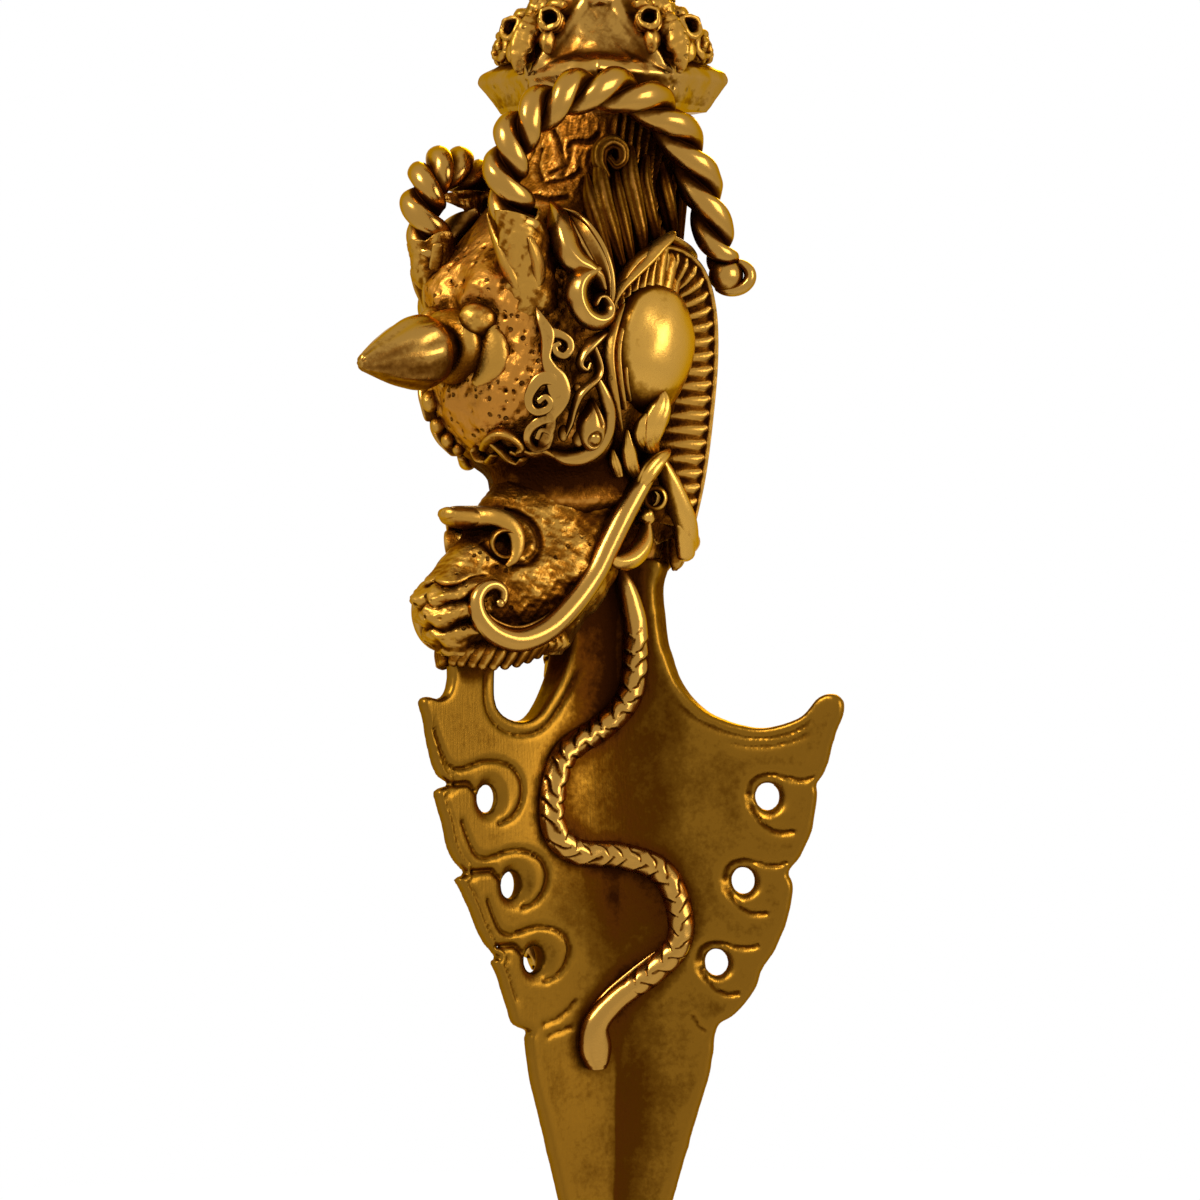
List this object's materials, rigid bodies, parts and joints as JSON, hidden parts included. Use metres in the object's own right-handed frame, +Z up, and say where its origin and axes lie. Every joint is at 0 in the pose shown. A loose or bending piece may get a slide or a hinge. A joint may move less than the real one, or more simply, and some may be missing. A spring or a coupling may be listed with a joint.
{
  "type": "ritual dagger",
  "caption": "Ritual dagger: a flame-edged blade hangs from a horned sea-monster head under a knotted, fluted handle with a pronged finial.",
  "frame": {"origin": "the blade's point", "axes": "+Z runs up from the point through the handle, -Y is the way the monster's snout faces, +X is to the right as seen from the front"},
  "size_m": [0.0652, 0.0675, 0.3165],
  "materials": {
    "gilt": "satin fire gilding over cast bronze",
    "worn_gilt": "polished high points of the gilding",
    "dark_gilt": "pitted cast bronze under thin, patinated gilding"
  },
  "bodies": {
    "root": {"blade": "gilt", "snake_right": "worn_gilt", "snake_back": "worn_gilt", "snake_left": "worn_gilt", "skull": "dark_gilt", "snout": "gilt", "lower_jaw": "gilt", "teeth_upper": "worn_gilt", "teeth_lower": "worn_gilt", "lip_strip_right": "worn_gilt", "lip_strip_left": "worn_gilt", "nose_visor": "gilt", "nostril_right": "gilt", "nostril_left": "gilt", "eye_right": "worn_gilt", "eye_left": "worn_gilt", "brow_scroll_right": "worn_gilt", "brow_scroll_left": "worn_gilt", "brow_beads": "worn_gilt", "cheek_right": "gilt", "cheek_left": "gilt", "frill_right": "gilt", "frill_left": "gilt", "ear_right": "worn_gilt", "ear_left": "worn_gilt", "horn_cup_right": "gilt", "horn_cup_left": "gilt", "horn_right": "gilt", "horn_left": "gilt", "spike_collar": "gilt", "forehead_spike": "worn_gilt", "mane_right": "dark_gilt", "mane_left": "dark_gilt", "mane_back": "dark_gilt", "knot_lower": "gilt", "knot_masks_lower": "worn_gilt", "lotus_lower": "gilt", "grip_lower": "gilt", "grip_ring": "worn_gilt", "grip_upper": "gilt", "lotus_upper": "gilt", "knot_upper": "gilt", "knot_masks_upper": "worn_gilt", "vajra_seat": "gilt", "vajra_claws": "worn_gilt", "vajra_core": "worn_gilt", "tie_rod": "dark_gilt"}
  },
  "joints": []
}
